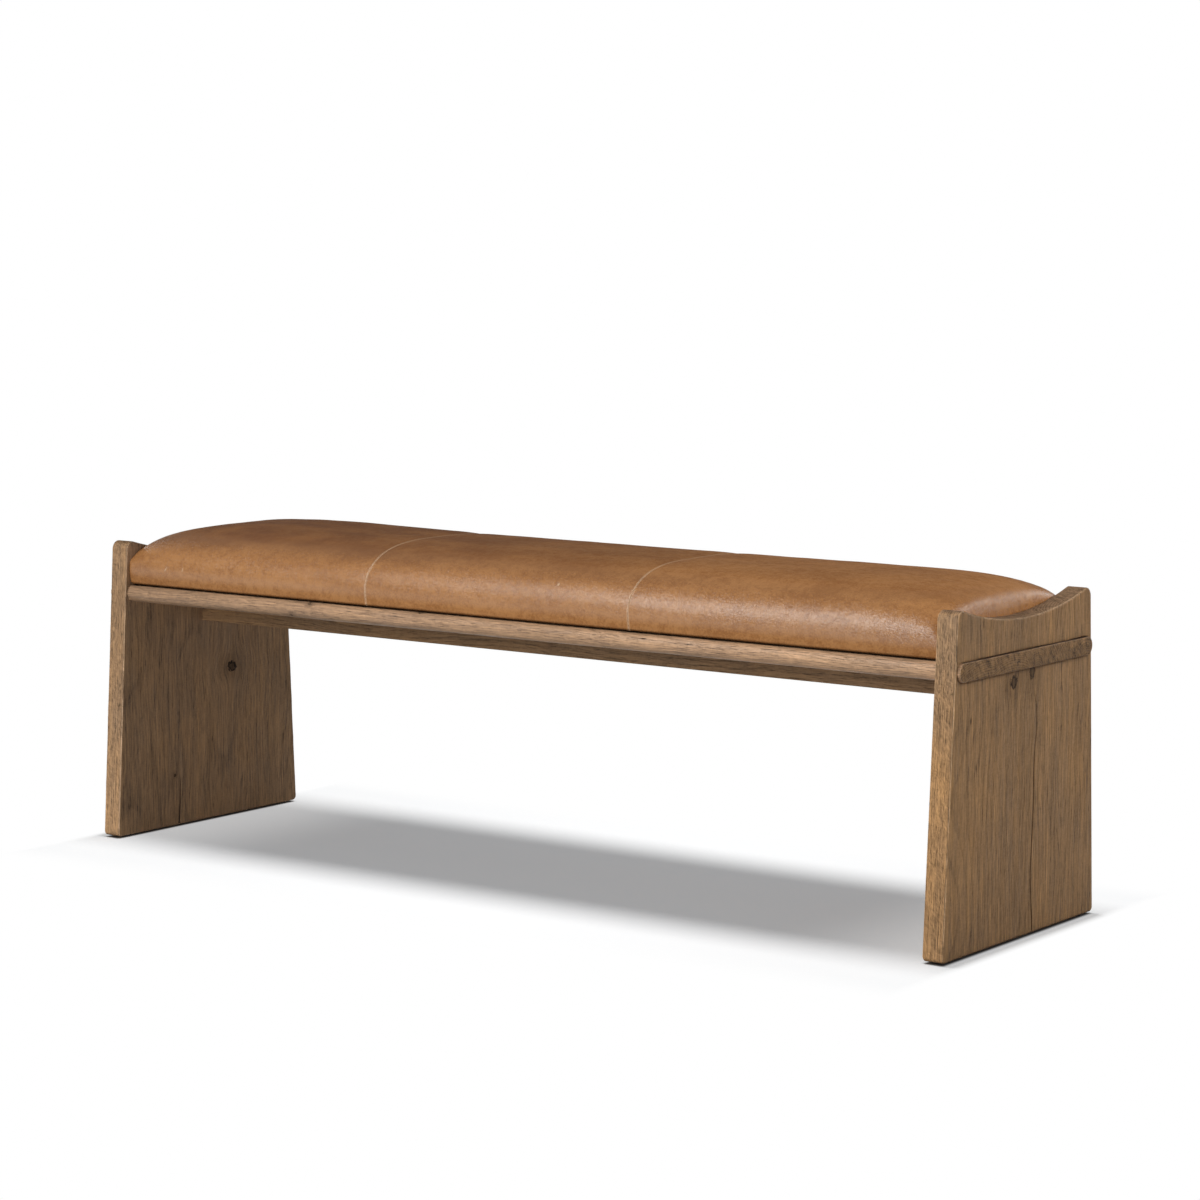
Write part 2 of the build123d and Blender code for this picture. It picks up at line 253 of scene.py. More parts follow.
def oak(name, axes, seed, stave=105.0, stave_start=0.0, pith=70.0, ring=3.6,
        knots=(), flecks=(), side=None, on_edge=False, contrast=1.0, narrow_figure=1.35,
        warmth=0.6, colours=(WARM_OAK, GREY_OAK), grey_top=None, tone=1.0, shading=None,
        end_tint=WARM_OAK, end_dark=0.28, end_streaks=2.6, gloss=(0.25, 0.55, 0.72)):
    """Weathered oak as a solid texture: streaks and pores along the grain, rings round a wandering
    pith in each stave, slanting figure, dark end grain, knots that push the streaks aside and
    short flecks. The mesh says where it is worn or cracked, and where shade is painted on it.

    axes: along the grain, across it and through the thickness. Knots and flecks are (centre,
    radii, strength), on the broad face, or with on_edge on the narrow one, where side fades them
    in. shading and grey_top change along the grain, as remap limits. gloss is the specular level
    and the least and most roughness."""
    look = Look(name)
    places = dict(zip("XYZ", look.places()))
    along, across, depth = (places[axis] for axis in axes)
    spot_across, spot_side = (depth, across) if on_edge else (across, depth)

    def field(width, length, detail=2.0, shift=0.0, rough=0.5, at=None):
        """Noise in shapes of this width and length along the grain."""
        point = look.vector((across if at is None else at) / width, depth / width,
                            along.scaled(1 / length, seed + shift))
        return look.noise(point, detail=detail, roughness=rough)

    def centred(*args):
        return field(*args) - 0.5

    # Each stave has its own pith and tone
    number = look.math("FLOOR", (across - stave_start) / stave)
    middle = (number + 0.5).scaled(stave, stave_start)
    chance = look.out("TexWhiteNoise", "Color", {"noise_dimensions": "1D"},
                      W=number + seed * 7.31)
    pick = look.split("Color", chance)
    own = number * 3.7

    dark_marks = push = None
    for centre, radii, strength in knots:
        far = spot(spot_across, along, centre, radii)
        near = look.math("EXPONENT", far * far * -0.10)
        offset = (spot_across - centre[0]) / radii[0] * near * (radii[0] * 0.75)
        push = offset if push is None else push + offset
        uneven = centred(2.6, 5.0, 2.0, 3.0).scaled(1.5, far)
        rim = abs(uneven - 0.78).ease(0.42, 0.08)
        core = most(rim, uneven.remap(1.0, 0.7) * 0.8)
        halo = uneven.ease(4.2, 1.0) * 0.30
        dark_marks = most(dark_marks, most(core, halo) * strength)

    # Streaks wander from side to side, and round the knots
    bent = total(across, (centred(80.0, 260.0, 1.0, 11.0), 30.0), (centred(22.0, 75.0, 1.0, 12.0), 5.0))
    if push is not None:
        bent = bent - push
    wide = centred(11.0, 300.0, 3.0, 5.0, 0.6, bent)
    middle_streak = centred(2.6, 120.0, 3.0, 6.0, 0.6, bent)
    fine = centred(1.4, 40.0, 3.0, 7.0, 0.65, bent)
    pore_noise = field(0.9, 18.0, 1.0, 4.0, 0.5, bent)
    cloud = centred(60.0, 110.0, 3.0, 8.0, 0.55)
    fleck = centred(6.0, 2.6, 2.0, 9.0, 0.5, bent)

    # Rings round the pith, with pores in each ring's early wood
    sway_across = look.noise(look.vector(along / 330.0, own, seed), detail=1.0)
    sway_depth = look.noise(look.vector(along / 280.0, own, seed + 5.0), detail=1.0)
    pith_across = (pick[0] - 0.5).scaled(stave * 1.6, (sway_across - 0.5) * 30.0)
    pith_depth = (pick[1] + 0.35).scaled(pith, (sway_depth - 0.5) * 18.0)
    off_across = bent - middle - pith_across
    off_depth = depth + pith_depth
    radius = look.math("SQRT", off_across * off_across + off_depth * off_depth)
    drift = look.noise(look.vector(radius / 17.0, own, seed + 2.0), detail=1.0)
    turn = look.math("FRACT", total(radius, (drift - 0.5, 9.0)) / ring)
    early = (1.0 - turn.ease(0.0, 0.5)) * turn.ease(0.0, 0.12)
    pores = early.scaled(0.08, pore_noise).ease(0.60, 0.70)

    normal = look.split("XYZ", look.out("NewGeometry", "True Normal"))
    facing = dict(zip("XYZ", normal))
    end = abs(facing[axes[0]]).ease(0.55, 0.95)
    narrow = abs(facing[axes[1]]).ease(0.5, 0.95)

    # Slanting figure, strongest on the narrow faces
    slant = depth.scaled(0.55, centred(16.0, 40.0, 2.0, 13.0) * 22.0)
    figure_point = look.vector((along * 0.35 + slant) / 2.3, bent / 8.0, along.scaled(1 / 13.0, seed))
    figure = look.noise(figure_point, detail=3.0, roughness=0.65) - 0.5
    value = total(1.10, (early, -0.17), (pores, -0.42), (wide, 0.66 * contrast),
                  (middle_streak, 0.95 * contrast), (fine, 1.45 * contrast),
                  (cloud, 0.36), (fleck, 0.36))
    value = value + figure * narrow.scaled(narrow_figure * contrast, 0.20 * contrast)
    value = (pick[2] - 0.5).scaled(0.14, value)

    # End grain drinks more stain, and worn edges are paler
    streak_point = look.vector(across.scaled(1 / 9.0, depth * 0.04), depth / 15.0, seed)
    end_figure = look.noise(streak_point, detail=4.0, roughness=0.7, distortion=0.5) - 0.5
    value = total(value, ((0.45 - early) * end, 0.6), (end_figure * end, end_streaks))
    wear = look.attribute("wear")
    value = value * end.scaled(-end_dark, 1.0) * wear.scaled(0.28, 1.0)

    for centre, radii, strength in flecks:
        dark_marks = most(dark_marks, spot(spot_across, along, centre, radii).ease(1.4, 0.3) * strength)
    if dark_marks is not None:
        dark_marks = dark_marks * spot_side.remap(*side)
    # The mesh's dark marks: crack lines, and painted shade round the tenons and under the pad
    dark_marks = most(dark_marks, look.attribute("crack_marks_and_painted_shade"))

    hue = total(warmth, (wide, 0.45), (cloud, 0.8), (middle_streak, 0.2))
    if grey_top:
        hue = hue - narrow * along.remap(*grey_top)
    tint = look.mix(look.math("SUBTRACT", 1.0, hue, clamp=True), *colours)
    tint = look.mix(wear * 0.85, look.mix(end, tint, end_tint), RUBBED_OAK)
    value = value * (along.remap(*shading) if shading else tone)
    colour = look.out("VectorMath", 0, {"operation": "SCALE"}, (tint,), Scale=value)

    height = total(pores * -1.0, (fine, 0.9), (middle_streak, 0.8), (early, -0.35),
                   (figure * narrow, 1.4), (dark_marks, -1.0))
    rough = field(4.0, 60.0, 1.0, 10.0).remap(0.3, 0.7, gloss[1], gloss[2])
    shine = end.scaled(-0.5 * gloss[0], gloss[0]) * dark_marks.scaled(-0.8, 1.0)
    return look.surface(look.mix(dark_marks, colour, MARK_AND_SHADE_BROWN), end.scaled(0.15, rough), height, 0.35,
                        Specular_IOR_Level=shine)


# Leather and the other stuffs

TAN = from_srgb(171, 121, 74)
DEEP_TAN = from_srgb(144, 96, 54)
TOP_SHADE_TAN = from_srgb(112, 75, 50)
PALE_TAN = from_srgb(205, 176, 146)

# Scratches on the front: (place along, height), (half width, half length), slant in degrees
SCARS = (((-647.0, 429.5), (1.1, 5.0), 35.0), ((99.0, 456.5), (1.8, 2.0), 0.0),
         ((-612.0, 431.0), (0.8, 4.0), 10.0))
FRONT = (-150.0, -170.0)  # scratches fade in between these depths


def leather():
    """Waxed leather: cloudy tan that darkens on top as painted shade, pebbles, wrinkles and pale
    seams, partly rubbed wear and partly painted highlight.
    """
    look = Look("tan_leather")
    x, y, z = look.places()
    point = look.vector(x, y, z)
    clouds = look.noise(look.vector(x * 0.45, y, z), 42.0, detail=3.0, roughness=0.55)
    mottle = look.noise(point, 11.0, detail=4.0, roughness=0.6)
    speckle = look.noise(point, 2.6)
    shade = total(0.08, (mottle, 0.47), (clouds, 0.38), (speckle - 0.5, 0.55))
    colour = look.mix(shade.ease(0.36, 0.66), TAN, DEEP_TAN)
    # Painted shade: the crown darkens, most towards the left end
    top = z.ease(PAD_TOP - 42.0, PAD_TOP - 4.0) * clouds.ease(0.30, 0.65, 0.68, 1.0)
    colour = look.mix(top * x.ease(-560.0, 480.0, 0.95, 0.22), colour, TOP_SHADE_TAN)

    # Pale lines beside the seams, partly rubbed wear and partly painted highlight, and pale scratches
    pale = look.attribute("rub_and_highlight") * 0.75
    front = y.remap(*FRONT)
    for (place, level), radii, slant in SCARS:
        cos, sin = math.cos(math.radians(slant)), math.sin(math.radians(slant))
        across, along = total(0.0, (x, cos), (z, -sin)), total(0.0, (x, sin), (z, cos))
        far = spot(across, along, (place * cos - level * sin, place * sin + level * cos), radii)
        pale = most(pale, far.ease(1.2, 0.5, 0.0, 0.85) * front)
    colour = look.mix(pale, colour, PALE_TAN)
    # Painted shade: the leather darkens at its foot, in the crevice over the board
    foot = z.ease(PAD_BOTTOM + 6.0, PAD_BOTTOM + 1.5)
    colour = look.mix(foot * 0.8, colour, MARK_AND_SHADE_BROWN)

    pebbles = look.cells(point, 1.5, "DISTANCE_TO_EDGE", 0.95).ease(0.0, 0.30)
    wrinkles = look.cells(point, 3.6, "DISTANCE_TO_EDGE").ease(0.0, 0.28)
    folds = look.noise(point, 6.0, detail=4.0, roughness=0.6)
    height = total(0.0, (pebbles, 0.60), (wrinkles, 0.35), (folds, 0.42))

    # The wax is dull on the crown, low on the sides and beside the right end
    crown = z.ease(PAD_TOP - 26.0, PAD_TOP - 8.0)
    far_end = x.ease(620.0, 690.0) * z.ease(PAD_BOTTOM + 56.0, PAD_BOTTOM + 72.0, 0.0, 0.82)
    low_side = z.ease(PAD_BOTTOM + 11.0, PAD_BOTTOM + 25.0, 0.10, 1.0)
    shine = most(crown, far_end).scaled(-0.62, 0.72) * low_side
    rough = crown.scaled(0.3, mottle.remap(0.35, 0.65, 0.21, 0.31))
    return look.surface(colour, rough, height, 0.22, 0.7, Specular_IOR_Level=shine)


def cloth_look(name, first, second, pitch):
    """Woven cloth from two crossed waves."""
    look = Look(name)
    x, y, z = look.places()
    turn = 2 * math.pi / pitch
    weave = look.math("SINE", x * turn) * look.math("SINE", (y + z) * turn)
    fuzz = look.noise(look.vector(x, y, z), 3.0, detail=4.0)
    colour = look.mix(weave.scaled(0.25, fuzz).remap(0.2, 0.8), first, second)
    return look.surface(colour, 0.9, weave + fuzz, 0.1)


def cell_look(name, first, second, cell):
    """Foam or wadding: small cells with soft walls."""
    look = Look(name)
    point = look.point()
    cells = look.cells(point, cell)
    clouds = look.noise(point, 30.0, detail=3.0)
    colour = look.mix(cells.scaled(0.6, clouds * 0.4), first, second)
    return look.surface(colour, 0.95, cells, 0.3)


def metal_look(name, colour, rough):
    """Plated steel with a cloudy finish and fine scratches."""
    look = Look(name)
    x, y, z = look.places()
    clouds = look.noise(look.vector(x, y, z), 4.0, detail=4.0)
    scratch = look.noise(look.vector(x * 6.0, y, z * 0.4))
    return look.surface(look.mix(clouds, colour, shaded(colour, 0.7)),
                        clouds.remap(0.3, 0.7, rough, rough + 0.2), scratch, 0.02, Metallic=1.0)


def plastic_look(name, colour):
    """Moulded plastic with a faint grain."""
    look = Look(name)
    grain = look.noise(look.point(), 0.8)
    tone = look.mix(grain, colour, shaded(colour, 1.35))
    return look.surface(tone, grain.remap(0.3, 0.7, 0.45, 0.6), grain, 0.05)


def plywood_look():
    """Birch plywood: grain on the faces, plies on the edges."""
    look = Look("birch_plywood")
    x, y, z = look.places()
    ply = look.math("PINGPONG", look.math("FLOOR", (z - ply_low[2]) / 1.35), 1.0)
    grain = look.noise(look.vector(x / 40.0, y / 1.6, z), detail=3.0)
    colour = look.mix(ply.scaled(0.45, grain * 0.55), from_srgb(214, 186, 144), from_srgb(164, 128, 88))
    return look.surface(colour, 0.7, grain, 0.08)


def thread_look(name, colour):
    """Twisted sewing thread."""
    look = Look(name)
    x, y, z = look.places()
    twist = look.math("SINE", (x + y + z) * 9.0)
    tone = look.mix(twist.remap(-1.0, 1.0), shaded(colour, 0.75), colour)
    return look.surface(tone, 0.7, twist, 0.06)


# Meshes

def add_object(name, data):
    made = bpy.data.objects.new(name, data)
    bpy.context.scene.collection.objects.link(made)
    return made


def make_object(name, points, faces, material, smooth_angle=35.0):
    """A mesh object from points in millimetres."""
    mesh = bpy.data.meshes.new(name)
    mesh.from_pydata((np.asarray(points, float) * MM).tolist(), [], faces)
    mesh.validate()
    mesh.shade_smooth()
    mesh.set_sharp_from_angle(angle=math.radians(smooth_angle))
    mesh.materials.append(material)
    return add_object(name, mesh)


def stand_for(made, node):
    """Puts a piece in the place of a node."""
    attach(made, "root")
    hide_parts(node)


def set_attribute(made, name, values):
    """One number for each point of the mesh, for its material."""
    data = made.data.attributes.new(name, "FLOAT", "POINT").data
    data.foreach_set("value", np.asarray(values, np.float32))


def wave_at(*place):
    """Smooth noise, about -1 to 1, at one place."""
    return noise.noise(Vector(place))


def noise_at(points, size, seed=0.0):
    """The same at points in millimetres, in waves of this size."""
    return np.array([wave_at(p[0] / size + seed, p[1] / size, p[2] / size) for p in points])


def run_along(points):
    """How far each point of a line is from its start, along the line."""
    return np.concatenate([[0], np.cumsum(np.linalg.norm(np.diff(points, axis=0), axis=1))])


def bell(distance, width):
    return np.exp(-(distance / width) ** 2)


def ramp(distance, width):
    """0 up to a distance of 0, and 1 from the width on."""
    return np.clip(distance / width, 0, 1)


# Worn wood: copies of the CAD solids, cut fine enough to rub down their edges and open cracks

EDGE_WEAR = 0.9  # the most that an edge loses
TENON_SHADE_WIDTH = 0.8  # width of the painted shade round the tenons
BESIDE_PAD = 425.0  # above this height the panels' inner faces are paler
NOSE_RADIUS = 13.0
NOSE_START = 176.0  # the board's nose is uneven past this depth
WOOD_SMOOTH_ANGLE = 42.0

# Cuts through the meshes: their pitches, how many layers a panel's thickness has, and distances
# from a crack, the slot and the board's ends
UP_PITCH, ACROSS_PITCH, LAYERS = 6.0, 7.0, 5
CRACK_CUTS = (0.35, 0.8, 1.6, 3.2, 6.0, 10.0)
SLOT_CUTS = (1.2, 3.0)
BOARD_PITCH, NOSE_PITCH = 9.0, 5.0
END_CUTS = (1.0, 2.0, 3.0, 4.5, 7.0, 11.0, 16.0)

# Cracks: (depth, height) along the path, place of the dense cuts, width and depth, pale line beside
CRACK_PULL, CRACK_FADE = 32.0, 25.0  # how far beside and above a crack the mesh moves with it
HALO_WIDTH, PALE_WIDTH, PALE_TOP = 3.2, 1.2, 130.0
RIGHT_CRACK = {"points": ((33.0, 3.0), (23.5, 98.0), (29.5, 155.0), (28.7, 242.0), (37.3, 309.0),
                          (18.5, 352.0)),
               "middle": 28.5, "widths": (1.7, 0.8), "depth": 1.6, "pale": 2.4}
LEFT_CRACK = {"points": ((-73.7, 3.0), (-71.0, 45.0), (-69.1, 81.0)),
              "middle": -71.5, "widths": (2.6, 1.4), "depth": 1.4, "pale": 2.4}


def fine_copy(node, cuts):
    """A copy of a node's mesh with extra edges where the given planes cross it."""
    mesh = bmesh.new()
    mesh.from_mesh(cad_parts[node].data)
    bmesh.ops.remove_doubles(mesh, verts=mesh.verts, dist=0.005 * MM)
    bmesh.ops.dissolve_limit(mesh, angle_limit=math.radians(0.25), verts=mesh.verts, edges=mesh.edges)
    for axis, places in cuts.items():
        normal = Vector((axis == "X", axis == "Y", axis == "Z"))
        for place in places:
            geometry = mesh.verts[:] + mesh.edges[:] + mesh.faces[:]
            bmesh.ops.bisect_plane(mesh, geom=geometry, dist=0.002 * MM,
                                   plane_co=normal * float(place) * MM, plane_no=normal)
    bmesh.ops.triangulate(mesh, faces=[face for face in mesh.faces if len(face.verts) > 4])
    bmesh.ops.recalc_face_normals(mesh, faces=mesh.faces)
    mesh.normal_update()
    points = np.array([v.co for v in mesh.verts]) / MM
    normals = np.array([v.normal for v in mesh.verts])
    faces = [[v.index for v in face.verts] for face in mesh.faces]
    mesh.free()
    return points, normals, faces


def edge_wear(points, normals):
    """How worn each point is: most on the rounded edges beside faces that look along X."""
    facing = normals[:, 0] ** 2
    on_edge = np.clip(4 * facing * (1 - facing), 0, 1)
    patchy = 0.78 + 0.9 * noise_at(points, 34.0, 5.0) + 0.5 * noise_at(points, 9.0, 2.0)
    return on_edge * np.clip(patchy, 0.08, 1.0)


def worn_piece(node, name, points, faces, material, wear, crack_marks_and_painted_shade):
    made = make_object(name, points, faces, material, WOOD_SMOOTH_ANGLE)
    # wear makes the wood paler; the other attribute darkens it for cracks and for painted shade
    set_attribute(made, "wear", wear)
    set_attribute(made, "crack_marks_and_painted_shade", crack_marks_and_painted_shade)
    stand_for(made, node)


def path_at(crack, z):
    """The crack's place across the panel at heights z, with its corners smoothed."""
    across, heights = zip(*crack["points"])
    wander = np.array([1.1 * wave_at(h / 45.0, 2.0, 5.0) + 0.3 * wave_at(h / 15.0, 2.0, 7.0) for h in z])
    steps = np.linspace(-21.0, 21.0, 7)
    return sum(np.interp(z + step, heights, across) for step in steps) / len(steps) + wander


def worn_panel(node, name, material, face, crack):
    """An end panel: rubbed edges, painted shade round the tenon and a crack in one face."""
    base = crack["middle"]
    near_crack = [base + step * side for step in CRACK_CUTS for side in (-1, 1)] + [base]
    slot = [board_low[2] - step for step in SLOT_CUTS] + [board_high[2] + step for step in SLOT_CUTS]
    low, high = node_box(node)
    cuts = {"Z": list(np.arange(low[2] + UP_PITCH, high[2], UP_PITCH)) + slot,
            "Y": list(np.arange(low[1] + ACROSS_PITCH, high[1], ACROSS_PITCH)) + near_crack,
            "X": np.linspace(low[0], high[0], LAYERS + 1)[1:-1]}
    points, normals, faces = fine_copy(node, cuts)
    wear = edge_wear(points, normals)
    on_face = np.abs(points[:, 0] - face) < 0.02
    z = points[:, 2]
    before = points[:, 1] - base

    # The face's points move over to follow the crack's path
    lowest, top = crack["points"][0][1], crack["points"][-1][1]
    pull = np.clip(1 - (np.abs(before) / CRACK_PULL) ** 2, 0, 1) ** 2
    shift = (path_at(crack, z) - base) * pull * ramp(top + CRACK_FADE - z, CRACK_FADE)
    points[:, 1] += np.where(on_face, shift, 0)

    share = ramp(z - lowest, top - lowest)
    width = np.interp(share, [0, 1], crack["widths"])
    depth = np.interp(share, [0, 0.85, 1], (crack["depth"], crack["depth"] * 0.5, 0)) * (z < top)
    groove = np.clip(1 - np.abs(before) / width, 0, 1) * on_face
    points[:, 0] -= np.sign(normals[:, 0]) * groove * depth
    points -= normals * (wear * EDGE_WEAR)[:, None]
    halo = 0.28 * bell(before, HALO_WIDTH) * on_face * (z < top)
    line = np.clip(1.4 * groove, 0, 1) * (z < top) * np.interp(share, [0, 0.8, 1], [1, 0.8, 0.3])

    # Painted shade round the tenon where it leaves the slot, strongest below it and weak above it
    past_flat = np.maximum(np.abs(points[:, 1]) - (board_high[1] - NOSE_RADIUS), 0)
    past_round = np.hypot(past_flat, z - (board_low[2] + board_high[2]) / 2) - NOSE_RADIUS
    outside = np.abs(points[:, 0]) > panel_high[0] - 1.0
    joint = 0.7 * bell(np.maximum(past_round, 0), TENON_SHADE_WIDTH) * outside
    joint *= np.interp(z, [board_low[2] + 6.0, board_high[2] - 2.0], [1.0, 0.12])

    inside = np.abs(points[:, 0]) < panel_low[0] + 0.5
    beside_pad = 0.55 * ramp(z - BESIDE_PAD, 15.0) * inside
    pale = 0.5 * bell(before - crack["pale"], PALE_WIDTH) * on_face * (z < PALE_TOP)
    wear = np.max([wear, beside_pad, pale], axis=0)
    worn_piece(node, name, points, faces, material, wear, np.max([line, halo, joint], axis=0))


def worn_board(material):
    """The seat board: slightly uneven nose and rubbed ends, dark where the pad shades it."""
    low, high = board_low, board_high
    near_end = [side * (high[0] - step) for step in END_CUTS for side in (-1, 1)]
    cuts = {"X": list(np.arange(low[0] + 20.0, high[0] - END_CUTS[-1], BOARD_PITCH)) + near_end,
            "Y": list(np.arange(low[1] + 14.0, high[1] - NOSE_RADIUS, NOSE_PITCH))}
    points, normals, faces = fine_copy("seat_board", cuts)
    along, depth = np.abs(points[:, 0]), np.abs(points[:, 1])
    wear = edge_wear(points, normals) * (along > high[0] - 3.0)
    uneven = 0.25 * noise_at(points, 70.0, 8.0) + 0.12 * noise_at(points, 15.0, 4.0)
    uneven *= ramp(depth - NOSE_START, 6.0) * (along < high[0] - 45.0)
    points += normals * (uneven - wear * EDGE_WEAR)[:, None]
    on_top = points[:, 2] > high[2] - 0.3
    # Painted shade: the board's top is darkened under the pad's overhang
    under_pad = 0.85 * ramp(PAD_BELLY_DEPTH - 1.0 - np.abs(points[:, 1]), 5.0) * on_top
    worn_piece("seat_board", "worn_board", points, faces, material, wear, under_pad)


# The pad's form: sections across the bench

BELLY_HEIGHT = PAD_BOTTOM + 27.0
CROWN_HEIGHT = PAD_TOP - BELLY_HEIGHT
FOOT_SETBACK = 5.0  # the lower edge lies this far inside the belly
CORNER_RISE, CORNER_RUN = 6.5, 16.0  # the lower corner is a quarter of an ellipse
SECTION_POWER = 3.28
SECTION_ROWS = 230  # round the crown
WALL_TOPS = (PAD_BOTTOM + 37.0, PAD_BOTTOM + 26.0)  # the left and right ends are full up to here
END_POWERS = (10.2, 11.8)  # left and right: a higher one makes a squarer end
CORNER_POWER = 150.0
END_REACH = PAD_HALF_LENGTH + 0.3
TURN_UNDER = 35.0
LEATHER, WADDING, TAPE = 1.6, 5.2, 0.5  # thicknesses
ALONG = np.array([1.0, 0.0, 0.0])
TAPE_GAP, WADDING_GAP, FOAM_GAP = 0.05, 0.6, 0.2  # outside the tape, the wadding and the foam

# Fullness of the crown along the pad: height, place, reach and power
EXTRA_CROWN = ((2.6, -505.0, 130.0, 2), (-0.8, -700.0, 40.0, 2), (-1.5, 120.0, 430.0, 4))

# The cover's soft waves: height, size and seed. They fade out at its foot and its ends.
SOFT_WAVES = ((0.55, 95.0, 3.0), (0.28, 38.0, 9.0))
FOOT_START, FOOT_FADE, END_FADE = 3.0, 12.0, 25.0

# The cover at a seam: broad dip, radius of the turned-in edge, bulge at the foot, puckers and
# their spacing
SEAM_DIP, SEAM_FOLD, SEAM_FOOT, PUCKER, PUCKER_PITCH = 0.4, 1.2, 1.6, 0.22, 8.5
PALE_LINE_PLACE, PALE_LINE_WIDTH = 1.1, 0.75  # the pale line beside it: rubbed wear and a painted highlight on its raised edge

# Folds near the pad's corners: height at the end, slope, depth and reach; then a tuck beside the
# end, and the folds' half width and the tuck's
CORNER_FOLDS = ((47.0, 0.10, 0.45, 62.0), (33.0, -0.16, 0.40, 48.0), (58.0, 0.22, 0.30, 40.0))
TUCK_PLACE, TUCK_DEPTH, FOLD_WIDTH, TUCK_WIDTH = 25.0, 0.35, 2.8, 3.0

# How far the cover's first cuts are from the pad's end and from a seam, and the pitch of the rest
END_STEPS = np.array([0.0, 0.3, 0.9, 1.8, 3.2, 5.0, 7.5, 10.5, 14.0, 18.0, 23.0, 29.0, 36.0])
SEAM_STEPS = np.cumsum(0.12 * 1.32 ** np.arange(22)) - 0.06
STATION_PITCH = 8.0
SHELL_SMOOTH_ANGLE = 50.0


def section_shape():
    """The section at mid-length as (depth, height) pairs from the front turn-under to the back."""
    side_height = BELLY_HEIGHT - PAD_BOTTOM
    low_share = CORNER_RISE / side_height
    foot = PAD_BELLY_DEPTH - FOOT_SETBACK * (1 - low_share) ** 2
    flat_end = foot - CORNER_RUN
    lower = [(y, PAD_BOTTOM) for y in np.linspace(-(foot - TURN_UNDER), -flat_end, 8)[:-1]]
    for angle in np.linspace(0, math.pi / 2, 8):
        rise = CORNER_RISE * (1 - math.cos(angle))
        lower.append((-flat_end - CORNER_RUN * math.sin(angle), PAD_BOTTOM + rise))
    for share in np.linspace(low_share, 1, 14)[1:-1]:
        setback = FOOT_SETBACK * (1 - share) ** 2
        lower.append((setback - PAD_BELLY_DEPTH, PAD_BOTTOM + share * side_height))
    angles = np.linspace(0, math.pi, 4001)
    y = -PAD_BELLY_DEPTH * np.sign(np.cos(angles)) * np.abs(np.cos(angles)) ** (2 / SECTION_POWER)
    z = BELLY_HEIGHT + CROWN_HEIGHT * np.sin(angles)
    length = run_along(np.stack([y, z], -1))
    even = np.linspace(0, length[-1], SECTION_ROWS)
    crown = list(zip(np.interp(even, length, y), np.interp(even, length, z)))
    return np.array(lower + crown + [(-y, z) for y, z in reversed(lower)])


SECTION = section_shape()


def section_at(x, inset=0.0):
    """The pad's outer section at x, drawn in by inset, as an array of points."""
    side = 0 if x < 0 else 1
    along = np.clip(np.abs(x) / END_REACH, 0, 1)
    height_share = (1 - along ** END_POWERS[side]) ** (2 / END_POWERS[side])
    y = SECTION[:, 0] * (1 - along ** CORNER_POWER) ** (1 / CORNER_POWER)
    z = SECTION[:, 1].copy()
    fullness = sum(height * math.exp(-((x - place) / reach) ** power)
                   for height, place, reach, power in EXTRA_CROWN)
    z += np.clip((z - BELLY_HEIGHT) / CROWN_HEIGHT, 0, 1) ** 2 * fullness
    wall_top = WALL_TOPS[side]
    z = np.where(z > wall_top, wall_top + (z - wall_top) * height_share, z)
    points = np.stack([np.full(len(y), x), y, z], -1)
    if inset:
        slope = np.gradient(points[:, 1:], axis=0)
        normal = np.stack([slope[:, 1], -slope[:, 0]], -1)
        points[:, 1:] += inset * normal / np.linalg.norm(normal, axis=1, keepdims=True)
    return points


def grid_normals(grid):
    """Outward normals of a grid of points [station, row]."""
    normal = np.cross(np.gradient(grid, axis=0), np.gradient(grid, axis=1))
    return normal / np.maximum(np.linalg.norm(normal, axis=-1, keepdims=True), 1e-9)


def panel_stations(low, high, low_is_seam, high_is_seam):
    """Places along one leather panel, close together at its seams and at the pad's ends."""
    first = low + (SEAM_STEPS if low_is_seam else END_STEPS)
    last = high - (SEAM_STEPS if high_is_seam else END_STEPS)[::-1]
    count = int((last[0] - first[-1]) / STATION_PITCH)
    return np.concatenate([first, np.linspace(first[-1], last[0], count + 2)[1:-1], last])


def seam_depth(far):
    """How far the leather lies below the smooth form at a distance from a seam."""
    turned = SEAM_FOLD * (1 - np.sqrt(np.clip(1 - (1 - ramp(far, SEAM_FOLD)) ** 2, 0, 1)))
    return SEAM_DIP * bell(far, 9.0) + turned


def corner_folds(grid):
    """How far the cover's sides lie lower in the soft folds that its boxed ends draw into it."""
    from_end = PAD_HALF_LENGTH - np.abs(grid[..., 0])
    height = grid[..., 2] - PAD_BOTTOM
    wander = 1.6 * np.sin(from_end / 9.0 + np.sign(grid[..., 0]))
    depth = TUCK_DEPTH * bell(from_end - TUCK_PLACE, TUCK_WIDTH) * ramp(34.0 - height, 16.0)
    for start, slope, deep, reach in CORNER_FOLDS:
        fold = deep * bell(height - (start + slope * from_end + wander), FOLD_WIDTH)
        depth += fold * np.clip(1 - from_end / reach, 0, 1) * ramp(from_end, 8.0)
    return depth * (np.abs(grid[..., 1]) > PAD_BELLY_DEPTH - 16.0)


swell = {}  # what the simulation gives: stations, rows as shares of the section's run, and lift


def swell_at(stations, run):
    """The simulated swell of the cover at these places."""
    if not swell:
        return 0.0
    rows = np.array([np.interp(run / run[-1], swell["rows"], line) for line in swell["lift"]])
    return np.array([np.interp(stations, swell["stations"], column) for column in rows.T]).T


